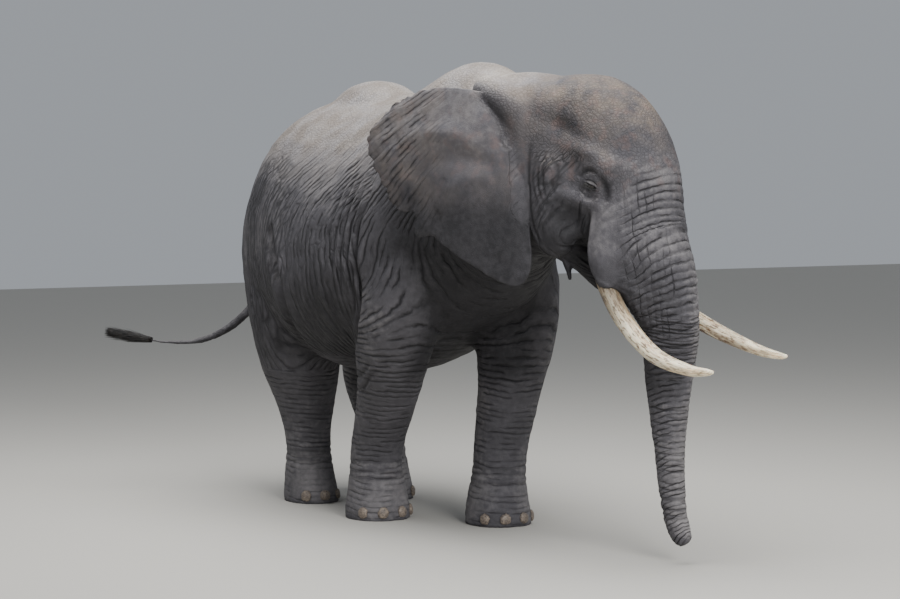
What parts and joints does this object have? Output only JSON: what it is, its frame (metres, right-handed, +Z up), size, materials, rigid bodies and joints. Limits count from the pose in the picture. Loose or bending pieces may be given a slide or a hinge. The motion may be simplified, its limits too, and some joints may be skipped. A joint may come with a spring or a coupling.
{
  "type": "elephant",
  "caption": "Life-size African bush elephant standing in a slow walk, head turned to its left, trunk hanging, wide ears, curved tusks and a tufted tail swung aside.",
  "frame": {"origin": "on the floor, at the middle of the model's bounding box seen from above", "axes": "+Z up; the elephant faces -Y and its right side is towards -X"},
  "size_m": [2.3172, 5.958, 3.1952],
  "materials": {
    "hide": "dry matte, deeply wrinkled",
    "ivory": "worn satin, stained at the roots",
    "nail_horn": "dull, worn",
    "eye": "wet",
    "tail_hair": "coarse wiry hair"
  },
  "bodies": {
    "root": {"ear_left": "hide", "ear_right": "hide", "eye_left": "eye", "eye_right": "eye", "front_left_foot": "hide", "front_left_leg": "hide", "front_left_nail_1": "nail_horn", "front_left_nail_2": "nail_horn", "front_left_nail_3": "nail_horn", "front_left_nail_4": "nail_horn", "front_right_foot": "hide", "front_right_leg": "hide", "front_right_nail_1": "nail_horn", "front_right_nail_2": "nail_horn", "front_right_nail_3": "nail_horn", "front_right_nail_4": "nail_horn", "head": "hide", "hind_left_foot": "hide", "hind_left_leg": "hide", "hind_left_nail_1": "nail_horn", "hind_left_nail_2": "nail_horn", "hind_left_nail_3": "nail_horn", "hind_right_foot": "hide", "hind_right_leg": "hide", "hind_right_nail_1": "nail_horn", "hind_right_nail_2": "nail_horn", "hind_right_nail_3": "nail_horn", "jaw": "hide", "neck": "hide", "tail_lower": "hide", "tail_tuft": "tail_hair", "tail_upper": "hide", "torso": "hide", "trunk_lower": "hide", "trunk_middle": "hide", "trunk_upper": "hide", "tusk_left": "ivory", "tusk_right": "ivory"}
  },
  "joints": []
}
